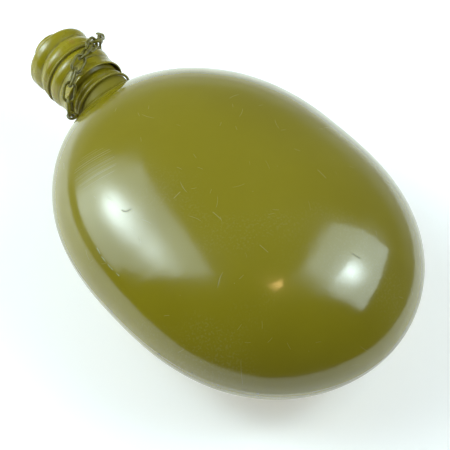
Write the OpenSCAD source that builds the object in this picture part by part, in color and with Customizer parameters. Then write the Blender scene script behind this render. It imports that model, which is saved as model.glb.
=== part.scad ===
// Oval pressed-metal canteen with a ribbed screw cap and a wire-link chain.
// It lies on its back: +Z is up through the front face and +Y points along the neck.
// The origin is the middle of its outline, on the surface that the canteen lies on.

/* [Body] */
// Length of the body without its neck
body_len = 178; // [160:1:200]
// Width across the body
body_w = 137.4; // [120:0.1:150]
// Thickness of the body from front to back
body_t = 76.8; // [66:0.1:86]
// Sheet thickness of the two body shells
body_wall = 1; // [0.8:0.1:1.4]
// Depth of the flat in the back, which the canteen lies on
back_flat = 0.8; // [0.5:0.1:1.2]

/* [Neck] */
// Outer radius of the neck tube
neck_r = 13.9; // [13.5:0.1:14.1]
// Inner radius of the neck tube
bore_r = 12.2; // [11:0.1:12.4]
// Distance from the middle of the body to the rim of the mouth
mouth_y = 122.3; // [121.5:0.1:122.3]
// Size of the weld bead where the neck meets the body
collar_h = 1.3; // [0.8:0.1:1.6]

/* [Cap] */
// Largest radius of the cap's rounded ribs
cap_r = 16.5; // [16.4:0.1:17]
// Depth of the rounded thread groove between two ribs
rib_depth = 1.2; // [0.6:0.1:1.3]
// Rise of the cap's thread in one turn
thread_pitch = 7.5; // [7:0.1:8]
// Sheet thickness of the cap
cap_wall = 0.7; // [0.5:0.1:0.7]
// Radius of the raised middle of the cap's top
boss_r = 9; // [8:0.1:10]
// Height of the raised middle of the cap's top
boss_h = 7; // [5:0.1:7]

/* [Chain] */
// Thickness of the link wire
link_wire = 1.4; // [1.25:0.05:1.4]
// Outer length of a link
link_len = 10.1; // [10:0.05:10.2]
// Outer width of a link
link_w = 6.3; // [6:0.1:6.3]
// Thickness of the wire of the neck ring and the cap ring
ring_wire = 1.2; // [1:0.05:1.2]

/* [Hidden] */

// Lengths along the neck are distances from the middle of the body.
half_len = body_len / 2;
cap_top_y = 125.6;
boss_top_y = cap_top_y + boss_h;
frame_y = (boss_top_y - half_len) / 2;
body_mid_z = body_t / 2 - back_flat;

// The body's half width and half thickness both follow (1 - |y|^p)^(1/q) of their largest value.
neck_end_p = 2.37;
neck_end_q = 1.81;
base_end_p = 2.54;
base_end_q = 1.93;
outline_steps = 44;

shell_hole_gap = 0.05;
tube_foot_y = 79;
collar_foot_y = 78;

// Neck: lower bead over the wire ring, upper bead in the cap's skirt, and rolled thread
neck_ring_y = 89.3;
bead_w = 3.8;
low_bead_y = 92.5;
low_bead_r = 14.5;
high_bead_y = 98;
high_bead_r = 14.4;
neck_thread_y = 108.3;
neck_thread_top_y = 118;
neck_thread_crest_r = 14;
neck_thread_root_r = 13.2;
lip_r = 13.6;
ring_play = 0.35;

// Cap: skirt, thread grooves and shoulder. The wire ring lies in the second groove.
skirt_y = 96.3;
skirt_r = 16.3;
skirt_neck_r = 15.7;
first_groove_y = 103.3;
thread_top_y = 122;
shoulder_r = 2.2;
boss_edge_r = 2.2;

// The plate lies against the cap's top, and the gasket lies between it and the mouth.
plate_t = 1.2;
seal_gap = 0.3;
seal_r = 14.2;
gasket_y = mouth_y + seal_gap;
gasket_t = cap_top_y - cap_wall - plate_t - gasket_y;

// The chain runs down a helix round the cap. Angles are measured from +X towards +Z.
chain_r = 19.5;
chain_first_angle = 51;
chain_first_y = 109.5;
chain_fall = 0.164;
chain_dip = atan2(chain_fall, chain_r * PI / 180);
link_play = 0.38;
link_roll = 45;
link_step_len = link_len - 2 * link_wire - link_play;
link_step_angle = link_step_len * cos(chain_dip) / (chain_r * PI / 180);

// Both rings end in an eye on a short twisted stem.
eye_r = 1.85;
stem_d = 1.3;
neck_ring_r = neck_r + ring_play + ring_wire / 2;
neck_eye_angle = 177.6;
neck_eye_dist = 17.9;
neck_eye_y = 90.6;

// The cap's eye is threaded on the end of the first link.
cap_ring_y = first_groove_y + thread_pitch;
cap_ring_r = cap_r - rib_depth + ring_play + ring_wire / 2;
cap_stem_back = 14;
cap_eye_back = link_len / 2 - link_wire + eye_r - ring_wire / 2 - link_play;
cap_eye_angle = chain_first_angle - atan2(cap_eye_back * cos(chain_dip), chain_r);
cap_eye_dist = norm([chain_r, cap_eye_back * cos(chain_dip)]);
cap_eye_y = chain_first_y + cap_eye_back * sin(chain_dip);

olive = [0.42, 0.40, 0.10];
dark_olive = [0.30, 0.28, 0.08];
wire_colour = [0.40, 0.36, 0.16];
rubber_colour = [0.12, 0.12, 0.12];
metal_colour = [0.70, 0.70, 0.70];

// Moves a shape from the body's own middle to the part's frame.
module in_frame() {
    translate([0, -frame_y, body_mid_z]) children();
}

// Turns a shape of revolution about Z into one about the neck's axis, +Y.
module along_neck() {
    rotate([-90, 0, 0]) children();
}

// Part of the body's largest radius at y, which runs from -1 at the base to 1 at the neck.
function outline(y) =
    let (p = y > 0 ? neck_end_p : base_end_p, q = y > 0 ? neck_end_q : base_end_q)
    pow(max(0, 1 - pow(abs(y), p)), 1 / q);

// Closed oval of revolution, squeezed to the body's width and thickness
module oval(len, w, t) {
    scale([w / 2, 1, t / 2]) along_neck() rotate_extrude($fn = 72) polygon([
        for (i = [0:outline_steps])
            let (y = -cos(180 * i / outline_steps)) [outline(y), y * len / 2]
    ]);
}

module body_outside() {
    oval(body_len, body_w, body_t);
}

// Inside of the body, kept one wall away from the flat in the back
module body_inside() {
    intersection() {
        oval(body_len - 2 * body_wall, body_w - 2 * body_wall, body_t - 2 * body_wall);
        translate([-body_w, -body_len, -body_mid_z + body_wall])
            cube([2 * body_w, 2 * body_len, body_t]);
    }
}

module neck_hole() {
    along_neck() cylinder(h = half_len + 1, r = neck_r + shell_hole_gap, $fn = 72);
}

// One half of the body, between two heights measured from the body's middle
module shell_half(low, high) {
    difference() {
        intersection() {
            body_outside();
            translate([-body_w, -body_len, low]) cube([2 * body_w, 2 * body_len, high - low]);
        }
        body_inside();
        neck_hole();
    }
}

module front_shell() {
    color(olive) in_frame() shell_half(0, body_t);
}

module back_shell() {
    color(olive) in_frame() shell_half(-body_mid_z, 0);
}

// Bead round the foot of the neck, which follows the body's curve
module neck_collar() {
    grow = 2 * collar_h;
    color(olive) in_frame() difference() {
        intersection() {
            oval(body_len + grow, body_w + grow, body_t + grow);
            along_neck() translate([0, 0, collar_foot_y])
                cylinder(h = half_len - collar_foot_y + collar_h, r = neck_r + collar_h, $fn = 72);
        }
        body_outside();
        along_neck() cylinder(h = body_len, r = neck_r, $fn = 72);
    }
}

// Smooth rounded ridge of height h and width w, centred on y0
function ridge(y, y0, w, h) =
    abs(y - y0) < w / 2 ? h * (1 + cos(360 * (y - y0) / w)) / 2 : 0;

// Outer outline of a rounded bead on the neck tube, centred on y0
function bead(y0, base_r, crest_r) = [
    for (i = [0:10])
        let (y = y0 + bead_w * (i / 10 - 0.5))
        [base_r + ridge(y, y0, bead_w, crest_r - base_r), y]
];

// Outer radius of the neck tube's threaded end, with its thread drawn as rings
function neck_thread_r(y) =
    neck_thread_root_r
    + (neck_thread_crest_r - neck_thread_root_r)
    * (1 + cos(360 * (y - neck_thread_y) / thread_pitch)) / 2;

module neck_tube() {
    color(dark_olive) in_frame() along_neck() rotate_extrude($fn = 72) polygon([
        [bore_r, tube_foot_y], [neck_r, tube_foot_y],
        each bead(low_bead_y, neck_r, low_bead_r),
        each bead(high_bead_y, neck_thread_root_r, high_bead_r),
        for (y = [neck_thread_y - thread_pitch / 2:0.75:neck_thread_top_y]) [neck_thread_r(y), y],
        [neck_thread_root_r, mouth_y - 3], [lip_r, mouth_y - 2],
        [lip_r, mouth_y - 0.6], [lip_r - 0.5, mouth_y], [bore_r, mouth_y]
    ]);
}

// Ring of wire in the XY plane, with radius r to the middle of the wire
module wire_circle(r) {
    rotate_extrude($fn = 72) translate([r, 0]) circle(d = ring_wire, $fn = 24);
}

// Point at distance r from the neck's axis, y along it and angle round it
function round_neck(r, y, angle) = [r * cos(angle), y, r * sin(angle)];

// Wire ring about the neck's axis, with a straight stem from its wire to the rim of its eye
module ring_and_stem(y, ring_r, stem_angle, eye) {
    root = round_neck(ring_r, y, stem_angle);
    step = eye - root;
    translate([0, y, 0]) along_neck() wire_circle(ring_r);
    translate(root) rotate([0, acos(step.z / norm(step)), atan2(step.y, step.x)])
        cylinder(h = norm(step) - eye_r, d = stem_d, $fn = 24);
}

module neck_ring() {
    color(wire_colour) in_frame() {
        ring_and_stem(neck_ring_y, neck_ring_r, neck_eye_angle,
            round_neck(neck_eye_dist, neck_eye_y, neck_eye_angle));
        rotate([0, -neck_eye_angle, 0]) translate([neck_eye_dist, neck_eye_y, 0])
            wire_circle(eye_r);
    }
}

// Outer radius of the cap's threaded stretch, with its ribs drawn as rings
function cap_thread_r(y) =
    cap_r - rib_depth * (1 + cos(360 * (y - first_groove_y) / thread_pitch)) / 2;

// Outer outline of the cap from its skirt to the middle of its top, with s of the wall taken off
function cap_outline(s) = [
    [skirt_r - s, skirt_y], [skirt_neck_r + 0.2 - s, skirt_y + 2], [skirt_neck_r - s, skirt_y + 4],
    for (y = [first_groove_y - 1.7:0.75:thread_top_y]) [cap_thread_r(y) - s, y],
    for (a = [0:22.5:90])
        [cap_r - shoulder_r + (shoulder_r - s) * cos(a),
         cap_top_y - shoulder_r + (shoulder_r - s) * sin(a)],
    [boss_r - s, cap_top_y - s],
    for (a = [0:30:90])
        [boss_r - boss_edge_r + (boss_edge_r - s) * cos(a),
         boss_top_y - boss_edge_r + (boss_edge_r - s) * sin(a)],
    [0, boss_top_y - s]
];

module cap_shell() {
    color(olive) in_frame() along_neck() rotate_extrude($fn = 72) difference() {
        polygon([[0, skirt_y], each cap_outline(0)]);
        polygon([[0, skirt_y - 1], [skirt_r - cap_wall, skirt_y - 1], each cap_outline(cap_wall)]);
    }
}

// Plate that backs the gasket, across the foot of the raised middle
module seal_plate() {
    color(metal_colour) in_frame() along_neck()
        translate([0, 0, gasket_y + gasket_t]) cylinder(h = plate_t, r = seal_r, $fn = 72);
}

// Rubber disc that the rim of the mouth presses into
module gasket() {
    color(rubber_colour) in_frame() along_neck()
        translate([0, 0, gasket_y]) cylinder(h = gasket_t, r = seal_r, $fn = 72);
}

// Frame of link number n: X along the chain, Y across the link, with odd and even links
// rolled to opposite sides
module on_chain(n) {
    angle = chain_first_angle + (n - 1) * link_step_angle;
    roll = n % 2 == 1 ? link_roll : -link_roll;
    rotate([0, -angle, 0])
        translate([chain_r, chain_first_y - (n - 1) * link_step_angle * chain_fall, 0])
        rotate([chain_dip, 0, 0]) rotate([0, -90, 0]) rotate([roll, 0, 0]) children();
}

module cap_ring() {
    color(wire_colour) in_frame() {
        ring_and_stem(cap_ring_y, cap_ring_r, cap_eye_angle - cap_stem_back,
            round_neck(cap_eye_dist, cap_eye_y, cap_eye_angle));
        on_chain(1) translate([-cap_eye_back, 0, 0]) rotate([90, 0, 0]) wire_circle(eye_r);
    }
}

// Oval loop of wire in the XY plane, long along X
module wire_link() {
    straight = link_len - link_w;
    bend_r = (link_w - link_wire) / 2;
    for (side = [-1, 1]) {
        translate([0, side * bend_r, 0]) rotate([0, 90, 0])
            cylinder(h = straight, d = link_wire, center = true, $fn = 24);
        rotate([0, 0, 90 - 90 * side]) translate([straight / 2, 0, 0]) rotate([0, 0, -90])
            rotate_extrude(angle = 180, $fn = 48) translate([bend_r, 0])
                circle(d = link_wire, $fn = 24);
    }
}

module chain_link(n) {
    color(wire_colour) in_frame() on_chain(n) wire_link();
}

front_shell();
back_shell();
neck_collar();
neck_tube();
neck_ring();
cap_shell();
seal_plate();
gasket();
cap_ring();
chain_link(1);  // link_1
chain_link(2);  // link_2
chain_link(3);  // link_3
chain_link(4);  // link_4
chain_link(5);  // link_5
chain_link(6);  // link_6
chain_link(7);  // link_7
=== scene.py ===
import math

import bmesh
import bpy
import numpy as np
from mathutils import Matrix, Vector


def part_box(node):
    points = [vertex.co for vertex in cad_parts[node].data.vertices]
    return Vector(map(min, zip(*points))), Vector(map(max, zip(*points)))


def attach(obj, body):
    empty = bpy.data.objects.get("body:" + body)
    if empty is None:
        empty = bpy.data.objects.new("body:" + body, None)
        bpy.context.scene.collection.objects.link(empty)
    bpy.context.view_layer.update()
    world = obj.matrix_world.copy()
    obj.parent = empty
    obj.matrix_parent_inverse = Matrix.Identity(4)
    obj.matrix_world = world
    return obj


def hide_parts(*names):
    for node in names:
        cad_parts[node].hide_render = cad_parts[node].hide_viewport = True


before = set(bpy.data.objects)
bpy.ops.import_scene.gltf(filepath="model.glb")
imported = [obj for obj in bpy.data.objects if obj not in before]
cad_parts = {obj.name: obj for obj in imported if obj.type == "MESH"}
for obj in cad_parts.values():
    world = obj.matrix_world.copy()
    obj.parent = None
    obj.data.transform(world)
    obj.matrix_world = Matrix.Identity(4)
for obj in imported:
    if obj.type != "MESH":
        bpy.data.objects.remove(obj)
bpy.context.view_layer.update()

# ---------------------------------------------------------------- driving dimensions, in millimetres
# Lengths along the neck are distances from the middle of the body, and heights are from the belt
# where the two shells meet. Round the neck an angle runs from +X towards +Z.
MM = 0.001
BODY_LEN = 178.0
BODY_WALL = 1.0
BACK_FLAT = 0.8
FLAT_ROUNDING = 0.15
NECK_END = (2.37, 1.81)
BASE_END = (2.54, 1.93)
SHELL_HOLE_GAP = 0.05

NECK_R = 13.9
NECK_ROOT_R = 13.2
BORE_R = 12.2
TUBE_FOOT_Y = 79.0
TUBE_ROWS_Y = (TUBE_FOOT_Y, 86.0, 88.4)
MOUTH_Y = 122.3
LIP_R = 13.6
LIP_ROUNDING = 0.75
LOW_BEAD_Y = 92.5
LOW_BEAD_R = 14.5
HIGH_BEAD_Y = 98.0
HIGH_BEAD_R = 14.35
BEAD_W = 3.8
THREAD_RISE = 0.8
THREAD_START = (100.2, 103.5)
THREAD_END = (120.0, 117.0)

# The weld bead's size swells and shrinks in waves: height, number round the neck and phase.
WELD_SIZE = 0.95
WELD_WAVES = ((0.04, 23, 0.0), (0.03, 37, 1.0), (0.06, 7, 2.0))
WELD_HOLLOW = 0.12
WELD_DEPTH = 0.4
WELD_ROOT = 0.5

CAP_R = 16.5
CAP_WALL = 0.7
RIB_DEPTH = 1.2
PITCH = 7.5
THREAD_FADE_IN = (1.9, 3.4)
THREAD_FADE_OUT = 2.4
GROOVE_Y = 118.3
GROOVE_ANGLE = math.radians(-35)
SKIRT_Y = 96.3
SKIRT_R = 16.3
SKIRT_NECK_R = 15.7
SKIRT_GROOVE_Y = 103.3
SKIRT_GROOVE_W = 2.4
RING_GROOVE_Y = 110.8
CAP_TOP_Y = 125.6
SHOULDER_R = 2.2
BOSS_R = 9.0
BOSS_H = 7.0
BOSS_EDGE_R = 2.2
BOSS_FOOT_R = 0.7
BOSS_INNER_FOOT_R = 0.1

# Section of a groove: how softly it leaves the crest, and how steeply it falls.
VALLEY_EASE = 0.02
VALLEY_START = 0.14
VALLEY_SPAN = 0.87
VALLEY_POWER = 1.35

SEAL_R = 14.2
SEAL_GAP = 0.3
PLATE_T = 1.2
DISC_EASE = 0.25
DISC_SHAVE = 0.07

LINKS = 7
LINK_WIRE = 1.4
LINK_LEN = 10.1
LINK_W = 6.3
LINK_PLAY = 0.38
LINK_ROLL = 45.0
SEAM_DEPTH = 0.22
SEAM_STEPS = 1.1
CHAIN_R = 19.5
CHAIN_FIRST_ANGLE = 51.0
CHAIN_FIRST_Y = 109.5
CHAIN_FALL = 0.164

RING_WIRE = 1.2
RING_PLAY = 0.35
EYE_R = 1.85
STEM_OVERLAP = 0.3
STRAND_R = 0.36
STRAND_SQUEEZE = 0.92
CUT_WIRE = 1.1
CUT_PINCH = 0.35
NECK_RING_Y = 89.3
NECK_EYE_ANGLE = 177.6
NECK_EYE_DIST = 17.9
NECK_EYE_Y = 90.6
NECK_TAIL = [(-1.3, 0.2, 1.2), (-1.9, 0.9, 1.5), (-2.3, 1.3, 0.7)]
CAP_STEM_BACK = 14.0
CAP_TAIL = [(-1.2, 0.3, -1.4), (-1.6, 1.1, -0.7), (-1.9, 0.5, 0.5), (-2.2, -0.9, 0.3),
            (-2.6, -1.0, -1.2), (-3.1, 0.6, -2.2), (-3.4, 2.4, -2.6)]

# Places on the body, as points in millimetres from its middle: the corner round the neck, where shade is
# painted, a patch of fine parallel scratches, single pale scratches, dark nicks, and a pale line beside the
# belt that is a painted reflection. The corner and the patch fade from their first radius to their second,
# and COMB_SIDE crosses the scratches.
NECK_FOOT = (0, 85, 0)
NECK_SHADE_REACH = (15.0, 19.5)
COMB_PLACE = (-40.5, 42.9, 25.5)
COMB_REACH = (6.5, 13.0)
COMB_SIDE = (0.3949, 0.9187, 0.0)
SCRATCH_W = 0.24
NICK_W = 0.32
REFLECTION_LINE_W = 0.30
SEAM_W = 1.3
CHIPS_W = (0.4, 1.6)
PALE_SCRATCHES = [[(-22.8, -9.6, 36.2), (-22.6, -14.1, 36.1)],
                  [(-29.4, 6.2, 34.7), (-26.0, 6.5, 35.5)],
                  [(-18.8, -32.6, 35.3), (-18.4, -36.7, 34.8)],
                  [(24.9, -20.6, 35.3), (24.7, -25.5, 34.9)]]
DARK_NICKS = [[(-45.8, 18.6, 27.9), (-45.7, 17.4, 28.1), (-45.0, 16.5, 28.5), (-43.6, 16.0, 29.2)],
              [(8.7, -57.0, 31.0), (10.1, -59.8, 29.8)]]
REFLECTION_LINE_PATH = [(-60.7, 16.6, 17.1), (-61.7, 12.3, 16.5), (-62.1, 6.6, 16.3), (-62.0, 1.0, 16.5)]

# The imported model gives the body's width and thickness and the place of its middle.
front_low, front_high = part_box("front_shell")
HALF_LEN = BODY_LEN / 2
HALF_W = (front_high[0] - front_low[0]) / 2 / MM
HALF_T = (front_high[2] - front_low[2]) / MM
MIDDLE = Vector((0.0, front_low[1] + HALF_LEN * MM, front_low[2]))


# ---------------------------------------------------------------- mesh tools
def at(points):
    """Row-frame metres for points in millimetres from the body's middle."""
    return np.asarray(points, float) * MM + np.array(MIDDLE)


def unit(vectors):
    """Vectors of length 1 along the last axis."""
    return vectors / np.linalg.norm(vectors, axis=-1, keepdims=True)


def make_object(name, vertices, faces, material, smooth_angle=40):
    """Mesh object that is smooth except along edges sharper than smooth_angle degrees."""
    mesh = bpy.data.meshes.new(name)
    mesh.from_pydata([tuple(v) for v in vertices], [], faces)
    cleaner = bmesh.new()
    cleaner.from_mesh(mesh)
    bmesh.ops.remove_doubles(cleaner, verts=cleaner.verts, dist=1e-6)
    bmesh.ops.dissolve_degenerate(cleaner, edges=cleaner.edges, dist=1e-7)
    bmesh.ops.recalc_face_normals(cleaner, faces=cleaner.faces)
    cleaner.to_mesh(mesh)
    cleaner.free()
    mesh.materials.append(material)
    mesh.shade_smooth()
    mesh.set_sharp_from_angle(angle=math.radians(smooth_angle))
    piece = bpy.data.objects.new(name, mesh)
    bpy.context.scene.collection.objects.link(piece)
    return piece


def grid_faces(rows, columns, close_rows=False, close_columns=False):
    """Quads over a grid of rows x columns vertices."""
    faces = []
    for r in range(rows if close_rows else rows - 1):
        for c in range(columns if close_columns else columns - 1):
            below = r * columns
            above = (r + 1) % rows * columns
            d = (c + 1) % columns
            faces.append((below + c, below + d, above + d, above + c))
    return faces


def turned(name, profile, material, columns=144, radius=None, smooth_angle=40):
    """Solid of revolution about the neck's axis. profile is a closed list of (radius, y), and
    radius(r, y, angle) may change a point's radius."""
    angles = np.linspace(0, 2 * math.pi, columns, endpoint=False)
    r = np.repeat(np.array([p[0] for p in profile])[:, None], columns, axis=1)
    y = np.repeat(np.array([p[1] for p in profile])[:, None], columns, axis=1)
    a = np.repeat(angles[None, :], len(profile), axis=0)
    if radius:
        r = radius(r, y, a)
    grid = np.stack([r * np.cos(a), y, r * np.sin(a)], axis=-1).reshape(-1, 3)
    faces = grid_faces(len(profile), columns, close_rows=True, close_columns=True)
    return make_object(name, at(grid), faces, material, smooth_angle)


def arc(middle_r, middle_y, size, start, stop, count):
    """Points (radius, y) of a circular arc from start to stop, in degrees."""
    return [(middle_r + size * math.cos(t), middle_y + size * math.sin(t))
            for t in np.radians(np.linspace(start, stop, count))]


def carried_sides(tangents):
    """Side direction at each point of a path, turned as little as its bends allow."""
    side = unit(np.cross(tangents[0], (0.3, 0.5, 0.81)))
    sides = [side]
    for tangent in tangents[1:]:
        side = unit(side - tangent * np.dot(side, tangent))
        sides.append(side)
    return sides


def closing_slip(tangents, sides):
    """Angle by which the last side misses the first one, where a path closes."""
    last = sides[-1] - tangents[0] * np.dot(sides[-1], tangents[0])
    other = np.cross(tangents[0], sides[0])
    return math.atan2(np.dot(last, other), np.dot(last, sides[0]))


def tube(path, radii, closed=False, sides=20):
    """Vertices and faces of a round wire along path."""
    path = np.asarray(path, float)
    count = len(path)
    radii = np.broadcast_to(np.asarray(radii, float), count)
    if closed:
        tangents = unit(np.roll(path, -1, axis=0) - np.roll(path, 1, axis=0))
    else:
        tangents = unit(np.gradient(path, axis=0))
    carried = carried_sides(tangents)
    slip = closing_slip(tangents, carried) if closed else 0.0
    angles = np.linspace(0, 2 * math.pi, sides, endpoint=False)
    rings = []
    for i in range(count):
        turn = angles - slip * i / count
        across = np.cross(tangents[i], carried[i])
        rim = np.cos(turn)[:, None] * carried[i] + np.sin(turn)[:, None] * across
        rings.append(path[i] + radii[i] * rim)
    faces = grid_faces(count, sides, close_rows=closed, close_columns=True)
    if not closed:
        faces.append(tuple(range(sides)))
        faces.append(tuple(range((count - 1) * sides, count * sides)))
    return np.concatenate(rings), faces


def join(parts):
    """One list of vertices and one of faces from several."""
    vertices, faces, first = [], [], 0
    for part_vertices, part_faces in parts:
        vertices.append(part_vertices)
        faces.extend(tuple(i + first for i in face) for face in part_faces)
        first += len(part_vertices)
    return np.concatenate(vertices), faces


def smooth_step(value, low, high):
    """0 at low and 1 at high, with soft ends."""
    t = np.clip((value - low) / (high - low), 0, 1)
    return t * t * (3 - 2 * t)


def ridge(y, middle, width):
    """Rounded ridge of height 1."""
    inside = np.abs(y - middle) < width / 2
    return np.where(inside, (1 + np.cos(2 * math.pi * (y - middle) / width)) / 2, 0)


def smooth_path(points, count):
    """Catmull-Rom curve through points."""
    points = np.asarray(points, float)
    padded = np.vstack([2 * points[0] - points[1], points, 2 * points[-1] - points[-2]])
    result = []
    for t in np.linspace(0, len(points) - 1 - 1e-9, count):
        i = int(t)
        f = t - i
        a, b, c, d = padded[i:i + 4]
        result.append(0.5 * (2 * b + (c - a) * f + (2 * a - 5 * b + 4 * c - d) * f * f
                             + (3 * b - a - 3 * c + d) * f ** 3))
    return np.array(result)


# ---------------------------------------------------------------- node tools
class Nodes:
    """Short names for making the nodes of a material, a light or the world."""

    def __init__(self, tree):
        self.tree = tree

    def node(self, kind, **settings):
        """New node with those properties set."""
        made = self.tree.nodes.new(kind)
        for key, value in settings.items():
            setattr(made, key, value)
        return made

    def put(self, socket, value):
        """Link another socket into this one, or set it to a constant."""
        if isinstance(value, bpy.types.NodeSocket):
            self.tree.links.new(value, socket)
        else:
            socket.default_value = value

    def math(self, operation, a, b=0.0):
        """Result of a math node on one or two numbers."""
        made = self.node("ShaderNodeMath", operation=operation)
        self.put(made.inputs[0], a)
        self.put(made.inputs[1], b)
        return made.outputs[0]

    def plus(self, a, b):
        return self.math("ADD", a, b)

    def minus(self, a, b):
        return self.math("SUBTRACT", a, b)

    def times(self, a, b):
        return self.math("MULTIPLY", a, b)

    def larger(self, a, b):
        return self.math("MAXIMUM", a, b)

    def vector(self, operation, a, b=(0, 0, 0), output="Vector"):
        """Result of a vector math node on one or two vectors."""
        made = self.node("ShaderNodeVectorMath", operation=operation)
        self.put(made.inputs[0], a)
        self.put(made.inputs[1], b)
        return made.outputs[output]

    def dot(self, a, b):
        return self.vector("DOT_PRODUCT", a, b, "Value")

    def split(self, vector):
        """The sockets X, Y and Z of a vector."""
        made = self.node("ShaderNodeSeparateXYZ")
        self.put(made.inputs[0], vector)
        return made.outputs

    def ramp(self, value, low, high, to_low=0.0, to_high=1.0):
        """Goes softly from to_low to to_high while value goes from low to high."""
        made = self.node("ShaderNodeMapRange", interpolation_type="SMOOTHSTEP")
        names = ("Value", "From Min", "From Max", "To Min", "To Max")
        for name, number in zip(names, (value, low, high, to_low, to_high)):
            self.put(made.inputs[name], number)
        return made.outputs[0]


class Shader(Nodes):
    """A material whose patterns lie in the row frame. Sizes are in millimetres, and the scales of
    patterns are repeats in a metre."""

    def __init__(self, name):
        self.material = bpy.data.materials.new(name)
        self.material.use_nodes = True
        super().__init__(self.material.node_tree)
        self.bsdf = self.tree.nodes["Principled BSDF"]
        self.place = self.node("ShaderNodeTexCoord").outputs["Object"]

    def noise(self, scale, detail=2.0, roughness=0.5, vector=None):
        """Soft noise from 0 to 1."""
        made = self.node("ShaderNodeTexNoise")
        self.put(made.inputs["Vector"], vector or self.place)
        made.inputs["Scale"].default_value = scale
        made.inputs["Detail"].default_value = detail
        made.inputs["Roughness"].default_value = roughness
        return made.outputs["Fac"]

    def lines(self, scale, across):
        """Noise that changes along one direction only, so that it draws parallel lines."""
        made = self.node("ShaderNodeTexNoise", noise_dimensions="1D")
        self.put(made.inputs["W"], self.dot(self.place, across))
        made.inputs["Scale"].default_value = scale
        made.inputs["Detail"].default_value = 1.0
        return made.outputs["Fac"]

    def mix(self, amount, a, b):
        """Colour a where amount is 0, and b where it is 1."""
        made = self.node("ShaderNodeMix", data_type="RGBA")
        self.put(made.inputs["Factor"], amount)
        self.put(made.inputs["A"], a)
        self.put(made.inputs["B"], b)
        return made.outputs["Result"]

    def cells(self, scale, dimensions):
        """The sockets of a Voronoi pattern, and those of three random numbers for each cell."""
        made = self.node("ShaderNodeTexVoronoi", voronoi_dimensions=dimensions)
        self.put(made.inputs["Vector"], self.place)
        made.inputs["Scale"].default_value = scale
        dice = self.node("ShaderNodeSeparateColor")
        self.put(dice.inputs[0], made.outputs["Color"])
        return made.outputs, dice.outputs

    def specks(self, scale, size, share):
        """Small round spots, in about share of the cells of a pattern. Their size is part of a cell's."""
        cells, dice = self.cells(scale, "3D")
        spot = self.ramp(cells["Distance"], size, size * 0.6)
        return self.times(spot, self.math("GREATER_THAN", dice[0], 1 - share))

    def strokes(self, scale, length, width, share, bend=40):
        """Short bent scratches, each turned its own way, in about share of the cells of a pattern
        that is seen from above."""
        cells, dice = self.cells(scale, "2D")
        offset = self.split(self.vector("SUBTRACT", self.place, cells["Position"]))
        angle = self.times(dice[0], 2 * math.pi)
        cosine = self.math("COSINE", angle)
        sine = self.math("SINE", angle)
        along = self.plus(self.times(offset["X"], cosine), self.times(offset["Y"], sine))
        across = self.minus(self.times(offset["Y"], cosine), self.times(offset["X"], sine))
        across = self.plus(across, self.times(self.times(along, along), bend))
        thin = self.ramp(self.math("ABSOLUTE", across), width * MM, width * MM * 0.3)
        short = self.ramp(self.math("ABSOLUTE", along), length * MM / 2, length * MM / 5)
        return self.times(self.times(thin, short), self.math("GREATER_THAN", dice[1], 1 - share))

    def near(self, point, inner, outer):
        """1 within inner of a point and 0 beyond outer. The point is counted from the body's middle."""
        away = self.vector("DISTANCE", self.place, tuple(at(point)), "Value")
        return self.ramp(away, outer * MM, inner * MM)

    def mark(self, points, width):
        """One scratch through points, which are counted from the body's middle."""
        whole = 0.0
        ends = at(points)
        for start, end in zip(ends[:-1], ends[1:]):
            span = end - start
            moved = self.vector("SUBTRACT", self.place, tuple(start))
            share = self.dot(moved, tuple(span / span.dot(span)))
            share = self.math("MINIMUM", self.larger(share, 0.0), 1.0)
            nearest = self.node("ShaderNodeVectorMath", operation="SCALE")
            self.put(nearest.inputs[0], tuple(span))
            self.put(nearest.inputs["Scale"], share)
            away = self.vector("DISTANCE", moved, nearest.outputs[0], "Value")
            whole = self.larger(whole, self.ramp(away, width * MM, width * MM * 0.4))
        return whole

    def marks(self, lists, width):
        """All the scratches whose points are in lists."""
        whole = 0.0
        for points in lists:
            whole = self.larger(whole, self.mark(points, width))
        return whole

    def neck_radius(self):
        """Distance from the neck's axis, in millimetres."""
        across = self.vector("MULTIPLY", self.vector("SUBTRACT", self.place, MIDDLE), (1 / MM, 0, 1 / MM))
        return self.vector("LENGTH", across, output="Value")

    def bump(self, pattern, height, normal=None):
        """Raises the surface by height where pattern is 1, on top of the relief in normal."""
        made = self.node("ShaderNodeBump")
        self.put(made.inputs["Height"], pattern)
        made.inputs["Distance"].default_value = height * MM
        made.inputs["Strength"].default_value = 1.0
        if normal:
            self.put(made.inputs["Normal"], normal)
        return made.outputs[0]

    def finish(self, paint, roughness, normal=None, metallic=0.0, coat=0.0, coat_roughness=0.05, ior=1.5):
        """Set the surface's own sockets and give the material back."""
        self.put(self.bsdf.inputs["Base Color"], paint)
        self.put(self.bsdf.inputs["Roughness"], roughness)
        self.put(self.bsdf.inputs["Metallic"], metallic)
        self.bsdf.inputs["IOR"].default_value = ior
        self.bsdf.inputs["Coat Weight"].default_value = coat
        self.bsdf.inputs["Coat Roughness"].default_value = coat_roughness
        if normal:
            self.put(self.bsdf.inputs["Normal"], normal)
            self.put(self.bsdf.inputs["Coat Normal"], normal)
        return self.material


# ---------------------------------------------------------------- materials
def colour(r, g, b):
    """Opaque linear colour."""
    return (r, g, b, 1.0)


def grey(tone):
    """Opaque neutral colour."""
    return colour(tone, tone, tone)


OLIVE = colour(0.244, 0.192, 0.0036)
OLIVE_LIGHT = colour(0.266, 0.213, 0.008)
OLIVE_DARK = colour(0.229, 0.178, 0.003)
SCRATCHED = colour(0.36, 0.33, 0.12)
# Painted shade for the corner round the neck's foot.
NECK_CORNER_SHADE = colour(0.105, 0.083, 0.003)
# Painted reflection: the pale line beside the belt.
PAINTED_REFLECTION_LINE = colour(0.50, 0.56, 0.44)
NICKED = colour(0.13, 0.105, 0.005)
CHIPPED = colour(0.055, 0.05, 0.03)

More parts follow.
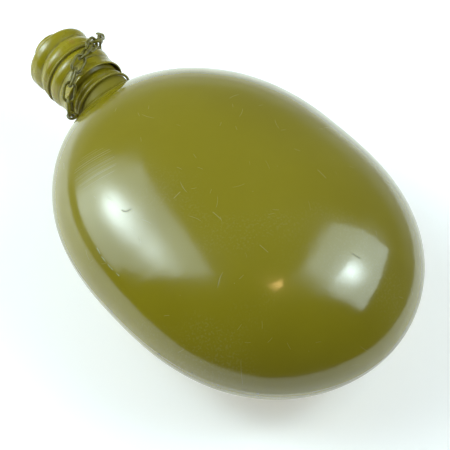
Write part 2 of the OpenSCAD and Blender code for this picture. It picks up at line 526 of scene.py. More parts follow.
CAP_OLIVE = colour(0.278, 0.219, 0.003)
CAP_GROOVE_DARK = colour(0.095, 0.074, 0.003)
CAP_LIGHT = colour(0.308, 0.243, 0.006)
NECK_OLIVE = colour(0.185, 0.146, 0.003)
NECK_GROOVE_DARK = colour(0.070, 0.053, 0.002)
NECK_LIGHT = colour(0.205, 0.163, 0.005)
# The weld bead's colours are darker copies of the neck's: painted shade in the corner where the neck meets
# the body.
WELD_SHADED_OLIVE = colour(0.165, 0.130, 0.003)
WELD_SHADED_DARK = colour(0.110, 0.086, 0.003)
WELD_SHADED_LIGHT = colour(0.190, 0.150, 0.004)
CREST_WORN = colour(0.30, 0.165, 0.022)
DOTTED = colour(0.30, 0.27, 0.10)

WIRE_OLIVE = colour(0.200, 0.168, 0.012)
WIRE_DARK = colour(0.115, 0.092, 0.008)
WIRE_ON_CAP = colour(0.235, 0.188, 0.005)
WIRE_BARE = colour(0.30, 0.27, 0.12)
ALUMINIUM = colour(0.60, 0.60, 0.58)
ALUMINIUM_DULL = colour(0.42, 0.42, 0.40)
RUBBER_BLACK = colour(0.022, 0.021, 0.020)
RUBBER_GREY = colour(0.045, 0.043, 0.040)


def body_scratches(s):
    """Pale scratches: short ones all over, the patch of parallel ones and the single long ones."""
    long = s.strokes(scale=75, length=7.5, width=0.13, share=0.22)
    short = s.strokes(scale=170, length=3.2, width=0.12, share=0.16)
    scattered = s.times(s.larger(long, short), s.ramp(s.noise(30, 1.0), 0.42, 0.60, 0.25, 1.0))
    combed = s.times(s.ramp(s.lines(1600, COMB_SIDE), 0.55, 0.63), s.near(COMB_PLACE, *COMB_REACH))
    scratches = s.larger(scattered, s.times(combed, 0.8))
    return s.larger(scratches, s.marks(PALE_SCRATCHES, SCRATCH_W))


def body_colour(s, scratches):
    """Olive in three close tones, with scratches, dots and dust in a paler one."""
    paint = s.mix(s.ramp(s.noise(17), 0.35, 0.65), OLIVE, OLIVE_DARK)
    paint = s.mix(s.times(s.ramp(s.noise(60, 3.0), 0.45, 0.75), 0.25), paint, OLIVE_LIGHT)
    dots = s.specks(scale=420, size=0.10, share=0.03)
    dust = s.times(s.ramp(s.noise(24, 3.0), 0.52, 0.68), s.ramp(s.noise(1100), 0.50, 0.66))
    pale = s.larger(s.times(scratches, 0.26), s.times(dots, 0.5))
    return s.mix(s.larger(pale, s.times(dust, 0.16)), paint, SCRATCHED)


def body_enamel():
    """Thick glossy enamel, brushed by years of use, with chips along the belt, painted shade round the
    neck's foot and a painted reflection line beside the belt.
    """
    s = Shader("body_enamel")
    scratches = body_scratches(s)
    paint = body_colour(s, scratches)
    # Painted shade: the paint darkens in the corner round the neck's foot, where it also turns rougher.
    corner = s.near(NECK_FOOT, *NECK_SHADE_REACH)
    paint = s.mix(s.times(corner, 0.5), paint, NECK_CORNER_SHADE)
    # Painted reflection: a broken pale line along the inner edge of the pale band that the belt mirrors.
    edge = s.times(s.mark(REFLECTION_LINE_PATH, REFLECTION_LINE_W), s.ramp(s.noise(260), 0.40, 0.55))
    paint = s.mix(s.times(edge, 0.6), paint, PAINTED_REFLECTION_LINE)
    nicks = s.marks(DARK_NICKS, NICK_W)
    paint = s.mix(s.times(nicks, 0.8), paint, NICKED)
    off_belt = s.math("ABSOLUTE", s.minus(s.split(s.place)["Z"], MIDDLE[2]))
    belt = s.ramp(off_belt, CHIPS_W[1] * MM, CHIPS_W[0] * MM)
    chips = s.times(belt, s.ramp(s.noise(150, 4.0, 0.6), 0.62, 0.66))
    paint = s.mix(chips, paint, CHIPPED)
    rough = s.ramp(s.noise(45, 3.0), 0.3, 0.7, 0.13, 0.24)
    rough = s.plus(rough, s.times(s.larger(scratches, nicks), 0.25))
    rough = s.plus(rough, s.times(corner, 0.3))
    relief = s.bump(s.ramp(off_belt, SEAM_W * MM, 0.0), 0.08)
    for scale, height in ((55, 0.22), (260, 0.022), (620, 0.009)):
        relief = s.bump(s.noise(scale, 1.0), height, relief)
    relief = s.bump(s.plus(scratches, chips), -0.02, relief)
    relief = s.bump(nicks, -0.05, relief)
    return s.finish(paint, rough, relief, coat=0.6, coat_roughness=0.06)


def turned_enamel(name, base, dark, light, low_r, high_r, wear, dull_below=None, coat=0.25, ior=1.5):
    """Enamel of a ribbed round part: darker patches in its grooves at low_r, rubbed crests at high_r, and a
    dull foot below dull_below."""
    s = Shader(name)
    radius = s.neck_radius()
    paint = s.mix(s.ramp(s.noise(70, 3.0), 0.35, 0.7), base, light)
    # Darker patches where the surface dips towards low_r, in the grooves.
    groove = s.times(s.ramp(radius, high_r, low_r), s.ramp(radius, low_r - 0.8, low_r - 0.2))
    groove_dark = s.times(groove, s.ramp(s.noise(300, 3.0), 0.25, 0.6))
    paint = s.mix(s.times(groove_dark, 0.6), paint, dark)
    crest = s.ramp(radius, high_r - 0.35, high_r)
    worn = s.times(crest, s.ramp(s.noise(210, 4.0, 0.65), 0.60, 0.68))
    paint = s.mix(s.times(worn, wear), paint, CREST_WORN)
    dots = s.specks(scale=700, size=0.14, share=0.12)
    paint = s.mix(s.times(dots, 0.6), paint, DOTTED)
    rough = s.ramp(s.noise(160, 3.0), 0.3, 0.7, 0.20, 0.32)
    rough = s.plus(rough, s.times(groove_dark, 0.25))
    if dull_below:
        line = MIDDLE[1] + dull_below * MM
        foot = s.ramp(s.split(s.place)["Y"], line + 0.8 * MM, line - 0.8 * MM)
        rough = s.plus(rough, s.times(foot, 0.35))
    relief = s.bump(s.noise(220), 0.06)
    relief = s.bump(s.noise(1500), 0.006, relief)
    return s.finish(paint, rough, relief, coat=coat, coat_roughness=0.2, ior=ior)


def worn_wire():
    """Steel wire in thin olive paint with bare spots. The rings that hug the cap and the neck have been
    painted over with them."""
    s = Shader("worn_wire")
    paint = s.mix(s.ramp(s.noise(500, 3.0), 0.35, 0.65), WIRE_OLIVE, WIRE_DARK)
    paint = s.mix(s.ramp(s.neck_radius(), CAP_R + 0.9, CAP_R + 0.5), paint, WIRE_ON_CAP)
    bare = s.ramp(s.noise(420, 4.0, 0.65), 0.62, 0.68)
    paint = s.mix(bare, paint, WIRE_BARE)
    rough = s.ramp(s.noise(900), 0.3, 0.7, 0.26, 0.48)
    return s.finish(paint, rough, s.bump(s.noise(1400, 3.0), 0.02), metallic=s.times(bare, 0.5))


def bare_aluminium():
    """Unpainted metal of the shells' inside and of the seal's plate, with fine rings."""
    s = Shader("bare_aluminium")
    rings = s.noise(1.0, vector=s.vector("MULTIPLY", s.place, (40, 3000, 40)))
    tint = s.mix(s.ramp(s.noise(120, 4.0), 0.4, 0.7), ALUMINIUM, ALUMINIUM_DULL)
    rough = s.ramp(rings, 0.3, 0.7, 0.28, 0.5)
    return s.finish(tint, rough, s.bump(rings, 0.01), metallic=1.0)


def rubber():
    """Dull black rubber with grey bloom."""
    s = Shader("rubber")
    tint = s.mix(s.ramp(s.noise(200, 4.0), 0.4, 0.7), RUBBER_BLACK, RUBBER_GREY)
    rough = s.ramp(s.noise(500, 3.0), 0.3, 0.7, 0.55, 0.8)
    return s.finish(tint, rough, s.bump(s.noise(2500), 0.02))


BODY_PAINT = body_enamel()
CAP_PAINT = turned_enamel("cap_enamel", CAP_OLIVE, CAP_GROOVE_DARK, CAP_LIGHT,
                          low_r=CAP_R - RIB_DEPTH, high_r=CAP_R - 0.6, wear=0.8)
NECK_PAINT = turned_enamel("neck_enamel", NECK_OLIVE, NECK_GROOVE_DARK, NECK_LIGHT,
                           low_r=NECK_ROOT_R - 0.3, high_r=LOW_BEAD_R - 0.3, wear=0.4,
                           dull_below=90.5, coat=0.0, ior=1.4)
# Painted shade: the weld bead is enamelled in a darker copy of the neck's paint.
WELD_SHADED_PAINT = turned_enamel("weld_shaded_enamel", WELD_SHADED_OLIVE, WELD_SHADED_DARK, WELD_SHADED_LIGHT,
                           low_r=NECK_R - 1, high_r=NECK_R + 4, wear=0.0,
                           dull_below=95, coat=0.0, ior=1.3)
WIRE = worn_wire()
METAL = bare_aluminium()
RUBBER = rubber()


# ---------------------------------------------------------------- body
def outline(u):
    """Part of the body's largest radius at u, which runs from -1 at the base to 1 at the neck."""
    u = np.asarray(u, float)
    neck = (1 - np.abs(u) ** NECK_END[0]).clip(0) ** (1 / NECK_END[1])
    base = (1 - np.abs(u) ** BASE_END[0]).clip(0) ** (1 / BASE_END[1])
    return np.where(u > 0, neck, base)


def body_points(u, angle, inset=0.0):
    """Points of the body's surface, or of its inside at that inset, flattened at the back."""
    reach = outline(u)
    x = (HALF_W - inset) * reach * np.cos(angle)
    z = (HALF_T - inset) * reach * np.sin(angle)
    floor = -(HALF_T - BACK_FLAT) + inset
    z = floor + FLAT_ROUNDING * np.logaddexp(0, (z - floor) / FLAT_ROUNDING)
    return np.stack([x, (HALF_LEN - inset) * u, z], axis=-1)


def body_normals(points):
    """Outward normals of the body's surface at points. On the flat they point straight down."""
    x, y, z = points[:, 0], points[:, 1], points[:, 2]
    p = np.where(y > 0, NECK_END[0], BASE_END[0])
    q = np.where(y > 0, NECK_END[1], BASE_END[1])
    section = np.maximum((x / HALF_W) ** 2 + (z / HALF_T) ** 2, 1e-9)
    lead = q * section ** (q / 2 - 1)
    along = p * np.abs(y / HALF_LEN) ** (p - 1) * np.sign(y) / HALF_LEN
    normal = unit(np.stack([lead * x / HALF_W ** 2, along, lead * z / HALF_T ** 2], axis=-1))
    floor = -(HALF_T - BACK_FLAT)
    flat = smooth_step(z, floor + 0.25, floor + 0.02)[:, None]
    return unit(normal * (1 - flat) + np.array([0, 0, -1.0]) * flat)


def neck_limit(angle, radius, inset=0.0):
    """u at which the body's surface meets a cylinder of that radius about the neck's axis."""
    across = np.hypot((HALF_W - inset) * np.cos(angle), (HALF_T - inset) * np.sin(angle))
    return (1 - (radius / across) ** NECK_END[1]) ** (1 / NECK_END[0])


def shell_skins(first_angle, rows, columns):
    """Outer and inner skin of half the body, as grids of points from the base to the neck hole."""
    angle = np.radians(first_angle) + np.linspace(0, math.pi, columns)
    along = np.linspace(0, 1, rows)[:, None]
    skins = []
    for inset in (0.0, BODY_WALL):
        stop = np.arccos(-neck_limit(angle, NECK_R + SHELL_HOLE_GAP, inset))[None, :]
        skins.append(body_points(-np.cos(along * stop), angle[None, :], inset))
    return skins


def finish_skins(mesh):
    """Give both skins of a shell the normals of the body's formula, and the inner one bare metal."""
    mesh.materials.append(METAL)
    vertices = np.empty(len(mesh.vertices) * 3)
    mesh.vertices.foreach_get("co", vertices)
    local = (vertices.reshape(-1, 3) - np.array(MIDDLE)) / MM
    outward = body_normals(local)
    loops = []
    for face in mesh.polygons:
        centre = local[list(face.vertices)].mean(axis=0)
        agree = np.dot(body_normals(centre[None, :])[0], face.normal)
        if agree > 0.8:
            loops.extend(outward[v] for v in face.vertices)
        elif agree < -0.8:
            face.material_index = 1
            loops.extend(-outward[v] for v in face.vertices)
        else:
            loops.extend(tuple(face.normal) for v in face.vertices)
    mesh.normals_split_custom_set([tuple(n) for n in loops])


def shell(name, first_angle, rows=150, columns=96):
    """Half of the body: an outer and an inner skin, joined along the belt and round the neck hole."""
    outer, inner = shell_skins(first_angle, rows, columns)
    ring = np.concatenate([outer, inner[:, ::-1]], axis=1)
    width = 2 * columns
    faces = grid_faces(rows, width, close_columns=True)
    last = (rows - 1) * width
    for c in range(columns - 1):
        faces.append((last + c, last + c + 1, last + width - 2 - c, last + width - 1 - c))
    piece = make_object(name, at(ring.reshape(-1, 3)), faces, BODY_PAINT, 30)
    finish_skins(piece.data)
    return piece


front = shell("front_skin", 0)
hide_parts("front_shell")
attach(front, "flask")
back = shell("back_skin", 180)
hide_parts("back_shell")
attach(back, "flask")


# ---------------------------------------------------------------- weld bead
def weld_bead(steps=240):
    """Uneven bead that fills the corner between the neck and the body."""
    angle = np.linspace(0, 2 * math.pi, steps, endpoint=False)
    sine, cosine = np.sin(angle), np.cos(angle)
    size = WELD_SIZE + sum(height * np.sin(count * angle + phase) for height, count, phase in WELD_WAVES)

    def on_body(radius):
        """Points of the body's surface at that distance from the neck's axis."""
        across = np.hypot(cosine / HALF_W, sine / HALF_T) * radius
        height = HALF_LEN * (1 - across ** NECK_END[1]) ** (1 / NECK_END[0])
        return np.stack([radius * cosine, height, radius * sine], axis=-1)

    corner = on_body(np.full(steps, NECK_R))
    foot = on_body(NECK_R + size)
    head = corner + np.stack([0 * size, size, 0 * size], axis=-1)
    middle = corner + WELD_HOLLOW * (foot - corner) + WELD_HOLLOW * (head - corner)
    rows = [(1 - t) ** 2 * foot + 2 * t * (1 - t) * middle + t * t * head for t in np.linspace(0, 1, 9)]
    root = np.array([0, WELD_ROOT, 0])
    rows.append(head - WELD_DEPTH * np.stack([cosine, 0 * cosine, sine], axis=-1))
    rows.append(on_body(np.full(steps, NECK_R - WELD_DEPTH)) - root)
    rows.append(foot - root)
    faces = grid_faces(len(rows), steps, close_rows=True, close_columns=True)
    return make_object("weld_bead", at(np.concatenate(rows)), faces, WELD_SHADED_PAINT, 50)


bead = weld_bead()
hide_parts("neck_collar")
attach(bead, "flask")


# ---------------------------------------------------------------- neck
def groove_phase(y, angle):
    """Turns of the screw thread between a point and the middle of the cap's groove."""
    from_z = math.pi / 2 - angle
    return (y - GROOVE_Y) / PITCH - (from_z - GROOVE_ANGLE) / (2 * math.pi)


def neck_surface(r, y, angle):
    """The neck's outside carries its thread between the upper bead and the mouth."""
    crest = (1 - np.cos(2 * math.pi * groove_phase(y, angle))) / 2
    fade = smooth_step(y, *THREAD_START) * smooth_step(y, *THREAD_END)
    outside = r > BORE_R + 0.5
    return r + np.where(outside, THREAD_RISE * crest * fade, 0)


def neck_bead(root_r, crest_r, middle_y):
    """Rounded bead that stands out from the neck."""
    along = np.linspace(middle_y - BEAD_W / 2, middle_y + BEAD_W / 2, 21)
    return [(root_r + (crest_r - root_r) * float(ridge(y, middle_y, BEAD_W)), y) for y in along]


def neck_profile():
    """Profile of the neck tube, from its foot up the outside and down the bore."""
    foot = [(NECK_R, y) for y in TUBE_ROWS_Y]
    low = neck_bead(NECK_R, LOW_BEAD_R, LOW_BEAD_Y)
    high = neck_bead(NECK_ROOT_R, HIGH_BEAD_R, HIGH_BEAD_Y)
    thread = [(NECK_ROOT_R, y) for y in np.arange(THREAD_START[0], MOUTH_Y - 2.4, 0.25)]
    lip = arc(LIP_R - LIP_ROUNDING, MOUTH_Y - LIP_ROUNDING, LIP_ROUNDING, -70, 90, 11)
    inner = [(BORE_R + 0.35, MOUTH_Y - 0.1), (BORE_R, MOUTH_Y - 0.5), (BORE_R, TUBE_FOOT_Y)]
    return foot + low + high + thread + lip + inner


neck = turned("neck_skin", neck_profile(), NECK_PAINT, radius=neck_surface)
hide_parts("neck_tube")
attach(neck, "flask")


# ---------------------------------------------------------------- cap
def valley(turns):
    """1 along the middle of a thread groove, 0 on the broad crest between two."""
    off_crest = 1 - 2 * np.abs(turns - np.round(turns))
    eased = (np.sqrt(off_crest ** 2 + VALLEY_EASE) - VALLEY_START) / VALLEY_SPAN
    return np.clip(eased, 0, 1) ** VALLEY_POWER


def cap_surface(r, y, angle):
    """The cap's wall has two plain grooves, for its skirt and its wire ring, and above them the
    thread's groove, which climbs to the shoulder."""
    plain = valley((y - RING_GROOVE_Y) / PITCH)
    climbing = valley(groove_phase(y, angle))
    above = smooth_step(y, RING_GROOVE_Y + THREAD_FADE_IN[0], RING_GROOVE_Y + THREAD_FADE_IN[1])
    top = smooth_step(y, CAP_TOP_Y - SHOULDER_R, CAP_TOP_Y - SHOULDER_R - THREAD_FADE_OUT)
    groove = plain * (1 - above) + climbing * above * top
    skirt = (y < SKIRT_GROOVE_Y) * (CAP_R - SKIRT_NECK_R)
    wall = (r > CAP_R - SHOULDER_R - 0.1) & (y > SKIRT_GROOVE_Y - SKIRT_GROOVE_W)
    neck_in = skirt * smooth_step(y, SKIRT_GROOVE_Y, SKIRT_GROOVE_Y - SKIRT_GROOVE_W / 2)
    return r - np.where(wall, np.maximum(RIB_DEPTH * groove, neck_in), 0)


def cap_skirt(inset):
    """The skirt, which flares at its rim."""
    points = []
    for y in np.arange(SKIRT_Y + CAP_WALL, SKIRT_GROOVE_Y - SKIRT_GROOVE_W, 0.4):
        flare = (SKIRT_R - SKIRT_NECK_R) * float(smooth_step(y, SKIRT_Y + 4.0, SKIRT_Y))
        points.append((SKIRT_NECK_R + flare - inset, y))
    return points


def cap_outline(inset):
    """Outline from the skirt's rim to the middle of the top, with inset taken off."""
    wall_start = SKIRT_GROOVE_Y - SKIRT_GROOVE_W + 0.05
    wall = [(CAP_R - inset, y) for y in np.arange(wall_start, CAP_TOP_Y - SHOULDER_R - 0.1, 0.22)]
    shoulder = arc(CAP_R - SHOULDER_R, CAP_TOP_Y - SHOULDER_R, SHOULDER_R - inset, 0, 90, 12)
    if inset:
        foot = arc(BOSS_R - inset, CAP_TOP_Y - inset + BOSS_INNER_FOOT_R, BOSS_INNER_FOOT_R, -90, 0, 7)
    else:
        foot = arc(BOSS_R + BOSS_FOOT_R, CAP_TOP_Y + BOSS_FOOT_R, BOSS_FOOT_R, 270, 180, 7)
    top = CAP_TOP_Y + BOSS_H
    edge = arc(BOSS_R - BOSS_EDGE_R, top - BOSS_EDGE_R, BOSS_EDGE_R - inset, 0, 90, 8)
    return cap_skirt(inset) + wall + shoulder + foot + edge + [(0.0, top - inset)]


def cap_profile():
    """Closed profile of the pressed cap: outside, inside and the skirt's round rim."""
    outer = cap_outline(0)
    inner = cap_outline(CAP_WALL)
    half = CAP_WALL / 2
    rim = arc(outer[0][0] - half, SKIRT_Y + half, half, 180, 360, 9)
    return outer + inner[::-1] + rim


cap = turned("cap_skin", cap_profile(), CAP_PAINT, radius=cap_surface)
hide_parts("cap_shell")
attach(cap, "cap")


def disc(name, node, low_y, high_y, material):
    """Round disc in the cap, with eased edges."""
    corner = SEAL_R - DISC_EASE
    shaved = SEAL_R - DISC_SHAVE
    profile = [(0.0, low_y), (corner, low_y), (shaved, low_y + DISC_SHAVE), (SEAL_R, low_y + DISC_EASE),
               (SEAL_R, high_y - DISC_EASE), (shaved, high_y - DISC_SHAVE), (corner, high_y), (0.0, high_y)]
    piece = turned(name, profile, material, columns=96, smooth_angle=60)
    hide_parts(node)
    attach(piece, "cap")


PLATE_TOP_Y = CAP_TOP_Y - CAP_WALL
PLATE_LOW_Y = PLATE_TOP_Y - PLATE_T
disc("seal_disc", "gasket", MOUTH_Y + SEAL_GAP, PLATE_LOW_Y, RUBBER)
disc("backing_disc", "seal_plate", PLATE_LOW_Y, PLATE_TOP_Y, METAL)


# ---------------------------------------------------------------- chain
def turn_x(degrees):
    """Rotation about the X axis."""
    return np.array(Matrix.Rotation(math.radians(degrees), 3, "X"))


def turn_y(degrees):
    """Rotation about the Y axis. A negative one turns +X towards +Z."""
    return np.array(Matrix.Rotation(math.radians(degrees), 3, "Y"))


# The chain winds round the cap and falls towards the body, by CHAIN_FALL millimetres a degree. DIP is
# its slope, and LINK_STEP is the angle from one link to the next, both in degrees.
CHAIN_PER_DEGREE = CHAIN_R * math.pi / 180
DIP = math.degrees(math.atan2(CHAIN_FALL, CHAIN_PER_DEGREE))
LINK_STEP = (LINK_LEN - 2 * LINK_WIRE - LINK_PLAY) * math.cos(math.radians(DIP)) / CHAIN_PER_DEGREE


def chain_frame(number):
    """Rotation and middle of a link: X along the chain, Y across the link."""
    turned_by = (number - 1) * LINK_STEP
    around = turn_y(-(CHAIN_FIRST_ANGLE + turned_by))
    roll = LINK_ROLL if number % 2 == 1 else -LINK_ROLL
    rotation = around @ turn_x(DIP) @ turn_y(-90) @ turn_x(roll)
    middle = around @ np.array([CHAIN_R, CHAIN_FIRST_Y - turned_by * CHAIN_FALL, 0.0])
    return rotation, middle


def link_path(steps=112):
    """Oval of the link's wire, starting at the middle of one long side."""
    bend = (LINK_W - LINK_WIRE) / 2
    straight = LINK_LEN - LINK_W
    half_way = straight + math.pi * bend
    points = []
    for distance in np.linspace(0, 2 * half_way, steps, endpoint=False):
        halves, d = divmod(distance + straight / 2, half_way)
        side = -1 if halves == 1 else 1
        t = max(d - straight, 0) / bend
        x = min(d, straight) - straight / 2 + bend * math.sin(t)
        points.append((side * x, side * bend * math.cos(t), 0))
    return np.array(points)


def link(number):
    """Bent wire link. Its two ends meet in a butt seam on one long side."""
    path = link_path()
    steps = len(path)
    from_seam = np.minimum(np.arange(steps), steps - np.arange(steps))
    radii = LINK_WIRE / 2 * (1 - SEAM_DEPTH * np.exp(-(from_seam / SEAM_STEPS) ** 2))
    rotation, middle = chain_frame(number)
    vertices, faces = tube(path, radii, closed=True)
    piece = make_object(f"wire_link_{number}", at(vertices @ rotation.T + middle), faces, WIRE, 60)
    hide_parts(f"link_{number}")
    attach(piece, f"link_{number}")


for number in range(1, LINKS + 1):
    link(number)


# ---------------------------------------------------------------- wire rings
def circle(radius, steps=96):
    """Circle about the Y axis."""
    t = np.linspace(0, 2 * math.pi, steps, endpoint=False)
    return np.stack([radius * np.cos(t), 0 * t, radius * np.sin(t)], axis=-1)


def twisted_stem(start, end, turns):
    """Two strands of wire twisted round each other from start to end."""
    span = end - start
    side = unit(np.cross(unit(span), (0, 1, 0.2)))
    other = np.cross(unit(span), side)
    t = np.linspace(0, 1, 40)
    parts = []
    for phase in (0, math.pi):
        a = 2 * math.pi * turns * t + phase
        circling = np.cos(a)[:, None] * side + np.sin(a)[:, None] * other
        path = start + t[:, None] * span + STRAND_R * STRAND_SQUEEZE * circling
        parts.append(tube(path, STRAND_R, sides=14))
    return parts


def cut_end(points):
    """Loose end of the wire through points, with its tip pinched by the cutter."""
    steps = 40
    pinch = 1 - CUT_PINCH * smooth_step(np.linspace(0, 1, steps), 0.93, 1.0)
    return tube(smooth_path(points, steps), CUT_WIRE / 2 * pinch, sides=16)


def wire_ring(name, node, body, y, radius, stem_angle, eye, eye_rotation, turns, tail):
    """Wire round the neck or the cap, twisted into a stem that ends in an eye. Its cut end sticks
    out along tail, which is given in the eye's own axes."""
    root = turn_y(-stem_angle) @ np.array([radius, y, 0.0])
    parts = [tube(circle(radius) + np.array([0, y, 0]), RING_WIRE / 2, closed=True)]
    parts += twisted_stem(root, eye + unit(root - eye) * (EYE_R - STEM_OVERLAP), turns)
    parts.append(tube(circle(EYE_R, 56) @ eye_rotation.T + eye, RING_WIRE / 2, closed=True))
    parts.append(cut_end(np.array(tail) @ eye_rotation.T + eye))
    vertices, faces = join(parts)
    piece = make_object(name, at(vertices), faces, WIRE, 60)
    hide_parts(node)
    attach(piece, body)


neck_out = turn_y(-NECK_EYE_ANGLE)
neck_eye = neck_out @ np.array([NECK_EYE_DIST, NECK_EYE_Y, 0.0])
wire_ring("neck_wire", "neck_ring", "neck_ring", NECK_RING_Y, NECK_R + RING_PLAY + RING_WIRE / 2,
          NECK_EYE_ANGLE, neck_eye, neck_out @ turn_x(90), turns=0.6, tail=NECK_TAIL)

cap_eye_back = LINK_LEN / 2 - LINK_WIRE + EYE_R - RING_WIRE / 2 - LINK_PLAY
first_rotation, first_middle = chain_frame(1)
cap_eye = first_middle - first_rotation[:, 0] * cap_eye_back
cap_stem_angle = math.degrees(math.atan2(cap_eye[2], cap_eye[0])) - CAP_STEM_BACK
wire_ring("cap_wire", "cap_ring", "cap_ring", RING_GROOVE_Y, CAP_R - RIB_DEPTH + RING_PLAY + RING_WIRE / 2,
          cap_stem_angle, cap_eye, first_rotation, turns=2.2, tail=CAP_TAIL)


# ---------------------------------------------------------------- floor, in metres
# The camera looks along an azimuth that runs from +Y towards +X, and down from the horizon.
LOOK_AZIMUTH = 46.6
LOOK_DOWN = 54.4
LOOK_ROLL = 5.63
LOOK_DISTANCE = 0.4736
LOOK_AT = MIDDLE + Vector((-0.0045, 0.0005, 0.0))
LENS_MM = 88
SENSOR_MM = 36

FLOOR_TONE = 0.82
# Painted shade: far away the floor darkens to this share of its tone, between these distances. Painted
# light: the floor's faint glow.
FLOOR_FAR_SHADE = 0.42
FLOOR_SHADE_FADE = (0.20, 0.40)
FLOOR_PAINTED_GLOW = 0.36
FLOOR_AHEAD = (-0.33, 2.6)
FLOOR_ACROSS = (-2.6, 0.34)


def flat_direction(degrees):
    """Level direction at that azimuth."""
    return Vector((math.sin(math.radians(degrees)), math.cos(math.radians(degrees)), 0))


AWAY = flat_direction(LOOK_AZIMUTH)
RIGHT = flat_direction(LOOK_AZIMUTH + 90)


def floor_paper():
    """Pale paper with painted shade that darkens it with distance, so that the canteen's far side mirrors a
    darker floor. It also glows faintly, a painted light that lifts the shadows on it.
    """
    s = Shader("floor_paper")
    cool = colour(FLOOR_TONE * 0.98, FLOOR_TONE * 0.985, FLOOR_TONE)
    paper = s.mix(s.ramp(s.noise(9), 0.3, 0.7), grey(FLOOR_TONE), cool)
    # Painted shade: the paper darkens with distance along the view.
    paper = s.mix(s.ramp(s.dot(s.place, AWAY), *FLOOR_SHADE_FADE), paper, grey(FLOOR_TONE * FLOOR_FAR_SHADE))
    # Painted light: the paper glows faintly, which lifts the shadows on it and the pale bands it makes in
    # the canteen.
    s.bsdf.inputs["Emission Color"].default_value = colour(1.0, 1.0, 0.97)
    s.bsdf.inputs["Emission Strength"].default_value = FLOOR_PAINTED_GLOW
    return s.finish(paper, 0.9, ior=1.2)


def sheet():
    """Pale sheet under the canteen, which its belt mirrors as a pale band."""
    (near, far), (left, right) = FLOOR_AHEAD, FLOOR_ACROSS
    corners = [AWAY * a + RIGHT * b for a, b in ((near, left), (near, right), (far, right), (far, left))]
    mesh = bpy.data.meshes.new("floor_sheet")
    mesh.from_pydata([tuple(c) for c in corners], [], [(0, 1, 2, 3)])
    mesh.materials.append(floor_paper())
    piece = bpy.data.objects.new("floor_sheet", mesh)
    bpy.context.scene.collection.objects.link(piece)


sheet()


# ---------------------------------------------------------------- light
class Glow(Nodes):
    """Strength pattern of a light panel, from the place on it that a ray meets."""

    def __init__(self, light):
        light.use_nodes = True
        super().__init__(light.node_tree)
        self.emission = self.tree.nodes["Emission"]
        self.place = self.node("ShaderNodeNewGeometry").outputs["Position"]

    def along(self, origin, direction):
        """Part of the way along an edge at the point that is met, 0 at origin and 1 at its far end."""
        return self.dot(self.vector("SUBTRACT", self.place, origin), direction)

    def window(self, u, v, soft, slant):
        """1 inside the panel. Its four edges fade over the shares in soft: u low, u high, v low, v high.
        The low u edge leans in by slant over the panel's height."""
        low_u, high_u, low_v, high_v = [share / 2 for share in soft]
        leaning = self.minus(u, self.times(v, slant))
        inside = self.times(self.ramp(leaning, -low_u, low_u), self.ramp(u, 1 + high_u, 1 - high_u))
        inside = self.times(inside, self.ramp(v, -low_v, low_v))
        return self.times(inside, self.ramp(v, 1 + high_v, 1 - high_v))

    def spot(self, u, v, middle, size, gain):
        """Soft bright spot of the given strength."""
        across = self.math("DIVIDE", self.minus(u, middle[0]), size[0])
        up = self.math("DIVIDE", self.minus(v, middle[1]), size[1])
        square = self.plus(self.times(across, across), self.times(up, up))
        return self.times(self.math("EXPONENT", self.times(square, -1.0)), gain)


# The light's own rectangle is this much larger than the soft-edged panel that is drawn on it.
PANEL_MARGIN = 1.35
COOL = (0.82, 1.0, 1.05)
WARM = (1.0, 0.62, 0.24)


def panel(name, corner, edge_a, edge_b, strength, tint, soft, spots=(), slant=0.0):
    """Light panel over the parallelogram from corner along two edges, facing the canteen. soft holds
    how far its edges fade, and spots the middle, size and strength of its brighter places."""
    corner, edge_a, edge_b = Vector(corner), Vector(edge_a), Vector(edge_b)
    centre = corner + edge_a / 2 + edge_b / 2
    x = edge_a.normalized()
    z = x.cross(edge_b).normalized()
    if z.dot(centre) < 0:
        z = -z
    y = z.cross(x)
    light = bpy.data.lights.new(name, "AREA")
    light.shape = "RECTANGLE"
    light.size = (edge_a.length + abs(edge_b.dot(x))) * PANEL_MARGIN
    light.size_y = abs(edge_b.dot(y)) * PANEL_MARGIN
    light.energy = strength * light.size * light.size_y
    light.color = tint
    draw_panel(light, corner, edge_a, edge_b, z, soft, spots, slant)
    placed = bpy.data.objects.new(name, light)
    placed.matrix_world = Matrix((x, y, z)).transposed().to_4x4()
    placed.matrix_world.translation = centre
    bpy.context.scene.collection.objects.link(placed)


def draw_panel(light, corner, edge_a, edge_b, z, soft, spots, slant):
    """Give a light the strength pattern of its panel."""
    glow = Glow(light)
    across = edge_b.cross(z)
    up = edge_a.cross(z)
    u = glow.along(corner, across / across.dot(edge_a))
    v = glow.along(corner, up / up.dot(edge_b))
    pattern = 1.0
    for middle, size, gain in spots:
        pattern = glow.plus(glow.spot(u, v, middle, size, gain), pattern)
    glow.put(glow.emission.inputs["Strength"], glow.times(glow.window(u, v, soft, slant), pattern))


# A large window on the left, two panels on the right that share an edge, and a small warm lamp.
RIGHT_CORNER = (1.245, -0.241, 1.0)
RIGHT_EDGE = (-0.961, -0.301, 0)
panel("window", (-0.37, 0.09, 1.0), (0.37, 0.85, 0), (-0.71, 0.43, -0.72), strength=6.9, tint=COOL,
      soft=(0.10, 0.45, 0.10, 0.06),
      spots=[((0.45, 0.41), (0.21, 0.15), 6.0), ((0.20, 0.34), (0.16, 0.13), 1.4),
             ((0.62, 0.78), (0.36, 0.30), 0.6)])
panel("right_low", RIGHT_CORNER, RIGHT_EDGE, (0.14, -0.302, -0.36), strength=10.8, tint=COOL,
      soft=(0.06, 0.10, 0.10, 0.04), spots=[((0.68, 0.10), (0.13, 0.30), 5.0)])
panel("right_high", RIGHT_CORNER, RIGHT_EDGE, (-0.10, 0.32, 0.0), strength=9, tint=COOL,
      soft=(0.10, 0.30, 0.04, 0.30), slant=0.42)
panel("warm_lamp", (-0.085, -0.24, 1.0), (0.09, 0.0, 0), (0.0, 0.055, 0.0), strength=50, tint=WARM,
      soft=(0.9, 0.9, 0.9, 0.9))


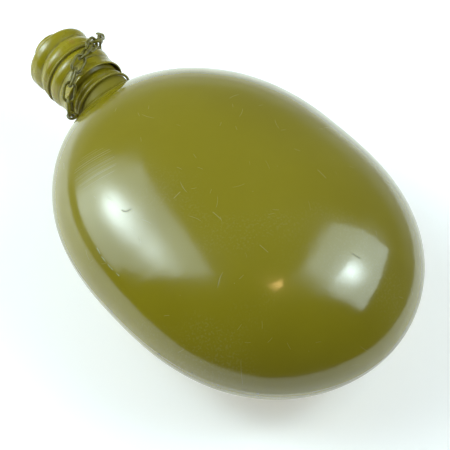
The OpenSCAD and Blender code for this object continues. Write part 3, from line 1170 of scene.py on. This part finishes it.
def room_strength(nodes):
    """The room is darker on the near side, and glows along the far horizon."""
    ray = nodes.node("ShaderNodeTexCoord").outputs["Generated"]
    ahead = nodes.dot(ray, AWAY)
    side = nodes.ramp(ahead, -0.5, 0.3, 0.35, 1.0)
    low = nodes.ramp(nodes.split(ray)["Z"], 0.25, 0.0)
    far = nodes.ramp(ahead, 0.2, 0.8, 0.0, 1.4)
    return nodes.plus(side, nodes.times(low, far))


def surroundings():
    """Dim room. The camera sees plain pale surroundings instead."""
    world = bpy.data.worlds.new("room")
    bpy.context.scene.world = world
    world.use_nodes = True
    world.node_tree.nodes.clear()
    nodes = Nodes(world.node_tree)
    room = nodes.node("ShaderNodeBackground")
    room.inputs["Color"].default_value = colour(0.19, 0.21, 0.20)
    nodes.put(room.inputs["Strength"], room_strength(nodes))
    pale = nodes.node("ShaderNodeBackground")
    pale.inputs["Color"].default_value = grey(1.0)
    pale.inputs["Strength"].default_value = 1.0
    mix = nodes.node("ShaderNodeMixShader")
    nodes.put(mix.inputs[0], nodes.node("ShaderNodeLightPath").outputs["Is Camera Ray"])
    nodes.put(mix.inputs[1], room.outputs[0])
    nodes.put(mix.inputs[2], pale.outputs[0])
    nodes.put(nodes.node("ShaderNodeOutputWorld").inputs[0], mix.outputs[0])


surroundings()


# ---------------------------------------------------------------- camera
def camera():
    """Camera at the photograph's angle, close enough to show its perspective."""
    lens = bpy.data.cameras.new("camera")
    lens.sensor_width = SENSOR_MM
    lens.lens = LENS_MM
    lens.clip_start = 0.01
    down = math.radians(LOOK_DOWN)
    direction = AWAY * math.cos(down) - Vector((0, 0, math.sin(down)))
    roll = Matrix.Rotation(math.radians(LOOK_ROLL), 3, "Z").to_quaternion()
    placed = bpy.data.objects.new("camera", lens)
    placed.location = LOOK_AT - direction * LOOK_DISTANCE
    placed.rotation_mode = "QUATERNION"
    placed.rotation_quaternion = direction.to_track_quat("-Z", "Y") @ roll
    bpy.context.scene.collection.objects.link(placed)
    bpy.context.scene.camera = placed


camera()
bpy.context.scene.view_settings.view_transform = "Standard"
bpy.context.scene.view_settings.look = "None"
